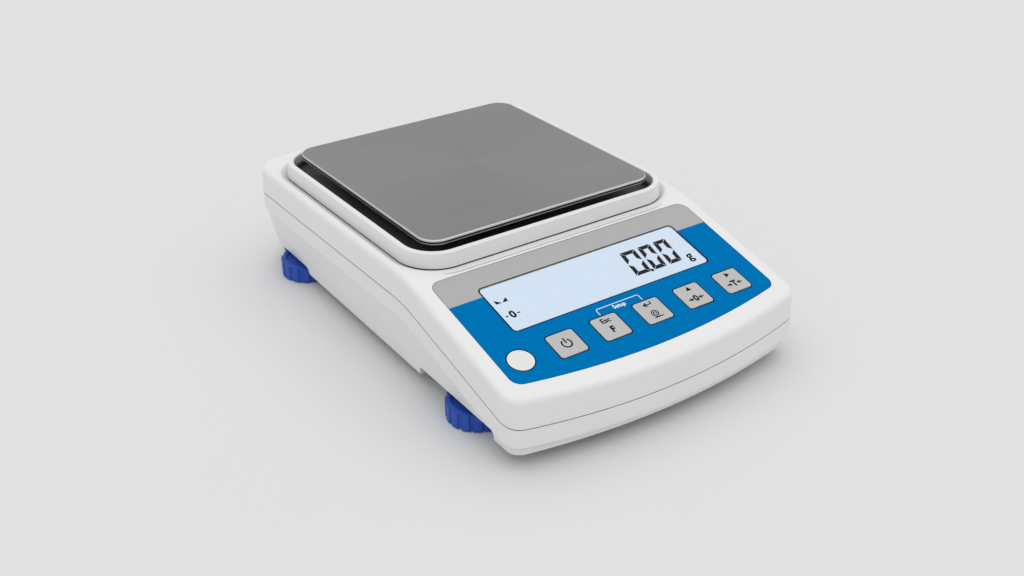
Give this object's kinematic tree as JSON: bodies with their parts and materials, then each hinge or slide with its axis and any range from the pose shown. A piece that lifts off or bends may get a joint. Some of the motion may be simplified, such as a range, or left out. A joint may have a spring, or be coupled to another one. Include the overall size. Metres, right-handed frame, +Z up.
{
  "type": "precision balance",
  "caption": "Table-top precision balance: square steel pan in a loose draught ring, sloping key panel with display, adjustable feet.",
  "frame": {"origin": "on the table, under the middle of the housing", "axes": "+X to the user's right, +Y from the user towards the rear wall, +Z up"},
  "size_m": [0.2086, 0.3118, 0.082],
  "materials": {
    "housing": "fine satin, light grey-white",
    "foil": "satin printed foil, blue with a grey band",
    "key": "satin light grey under a printed legend",
    "window": "clear polished",
    "lcd": "pale blue-white, backlit",
    "light_guide": "milky",
    "inner_plastic": "moulded white",
    "level": "milky clear",
    "circuit_board": "green solder mask",
    "switch": "black",
    "screw": "zinc plated",
    "tray": "dark satin",
    "pan": "brushed stainless",
    "cast_metal": "as cast",
    "rubber": "black",
    "beam": "milled",
    "socket_shell": "tinned",
    "socket_body": "black",
    "insert": "turned",
    "knob": "blue, ribbed by scallops"
  },
  "bodies": {
    "base": {"bottom_casing": "housing", "top_cover": "housing", "panel_foil": "foil", "display_window": "window", "lcd_glass": "lcd", "backlight": "light_guide", "lcd_frame": "inner_plastic", "level_vial": "level", "level_holder": "inner_plastic", "front_board": "circuit_board", "tact_switches": "switch", "front_board_screws": "screw", "drip_tray": "tray", "load_cell": "beam", "cell_spacer": "cast_metal", "chassis_plate": "cast_metal", "cell_screws": "screw", "chassis_screws": "screw", "overload_stops": "screw", "main_board": "circuit_board", "main_board_screws": "screw", "serial_socket": "socket_shell", "power_socket": "socket_body", "casing_screws": "screw", "foot_inserts": "insert"},
    "weigh_carrier": {"cell_arm": "cast_metal", "arm_screws": "screw", "pan_support": "cast_metal", "pan_buttons": "rubber"},
    "pan": {"weighing_pan": "pan"},
    "ring": {"draft_ring": "housing"},
    "key_power": {"key_power": "key"},
    "key_function": {"key_function": "key"},
    "key_print": {"key_print": "key"},
    "key_zero": {"key_zero": "key"},
    "key_tare": {"key_tare": "key"},
    "pad_front_left": {"foot_pad_front_left": "rubber"},
    "knob_front_left": {"foot_knob_front_left": "knob", "foot_stud_front_left": "screw"},
    "pad_front_right": {"foot_pad_front_right": "rubber"},
    "knob_front_right": {"foot_knob_front_right": "knob", "foot_stud_front_right": "screw"},
    "pad_rear_left": {"foot_pad_rear_left": "rubber"},
    "knob_rear_left": {"foot_knob_rear_left": "knob", "foot_stud_rear_left": "screw"},
    "pad_rear_right": {"foot_pad_rear_right": "rubber"},
    "knob_rear_right": {"foot_knob_rear_right": "knob", "foot_stud_rear_right": "screw"}
  },
  "joints": [
    {"name": "weigh_travel", "type": "slide", "parent": "base", "child": "weigh_carrier", "axis": [0, 0, -1], "range_m": [0, 0.0003], "stiffness_N_per_m": 66000},
    {"name": "pan_lift", "type": "slide", "parent": "weigh_carrier", "child": "pan", "axis": [0, 0, 1], "range_m": [0, 0.03]},
    {"name": "ring_lift", "type": "slide", "parent": "base", "child": "ring", "axis": [0, 0, 1], "range_m": [0, 0.025]},
    {"name": "key_power_press", "type": "slide", "parent": "base", "child": "key_power", "axis": [0, 0.2492, -0.9685], "range_m": [0, 0.00035], "stiffness_N_per_m": 3000},
    {"name": "key_function_press", "type": "slide", "parent": "base", "child": "key_function", "axis": [0, 0.2492, -0.9685], "range_m": [0, 0.00035], "stiffness_N_per_m": 3000},
    {"name": "key_print_press", "type": "slide", "parent": "base", "child": "key_print", "axis": [0, 0.2492, -0.9685], "range_m": [0, 0.00035], "stiffness_N_per_m": 3000},
    {"name": "key_zero_press", "type": "slide", "parent": "base", "child": "key_zero", "axis": [0, 0.2492, -0.9685], "range_m": [0, 0.00035], "stiffness_N_per_m": 3000},
    {"name": "key_tare_press", "type": "slide", "parent": "base", "child": "key_tare", "axis": [0, 0.2492, -0.9685], "range_m": [0, 0.00035], "stiffness_N_per_m": 3000},
    {"name": "foot_front_left_travel", "type": "slide", "parent": "base", "child": "pad_front_left", "axis": [0, 0, 1], "range_m": [-0.005, 0]},
    {"name": "foot_front_left_turn", "type": "hinge", "parent": "pad_front_left", "child": "knob_front_left", "pos_m": [-0.0862, -0.0903, 0.006], "axis": [0, 0, 1], "range_deg": [-1440, 0]},
    {"name": "foot_front_right_travel", "type": "slide", "parent": "base", "child": "pad_front_right", "axis": [0, 0, 1], "range_m": [-0.005, 0]},
    {"name": "foot_front_right_turn", "type": "hinge", "parent": "pad_front_right", "child": "knob_front_right", "pos_m": [0.0862, -0.0903, 0.006], "axis": [0, 0, 1], "range_deg": [-1440, 0]},
    {"name": "foot_rear_left_travel", "type": "slide", "parent": "base", "child": "pad_rear_left", "axis": [0, 0, 1], "range_m": [-0.005, 0]},
    {"name": "foot_rear_left_turn", "type": "hinge", "parent": "pad_rear_left", "child": "knob_rear_left", "pos_m": [-0.0862, 0.1152, 0.006], "axis": [0, 0, 1], "range_deg": [-1440, 0]},
    {"name": "foot_rear_right_travel", "type": "slide", "parent": "base", "child": "pad_rear_right", "axis": [0, 0, 1], "range_m": [-0.005, 0]},
    {"name": "foot_rear_right_turn", "type": "hinge", "parent": "pad_rear_right", "child": "knob_rear_right", "pos_m": [0.0862, 0.1152, 0.006], "axis": [0, 0, 1], "range_deg": [-1440, 0]}
  ],
  "couplings": [
    {"joint": "foot_front_left_turn", "follows": "foot_front_left_travel", "rad_per_m": 5026.5},
    {"joint": "foot_front_right_turn", "follows": "foot_front_right_travel", "rad_per_m": 5026.5},
    {"joint": "foot_rear_left_turn", "follows": "foot_rear_left_travel", "rad_per_m": 5026.5},
    {"joint": "foot_rear_right_turn", "follows": "foot_rear_right_travel", "rad_per_m": 5026.5}
  ]
}
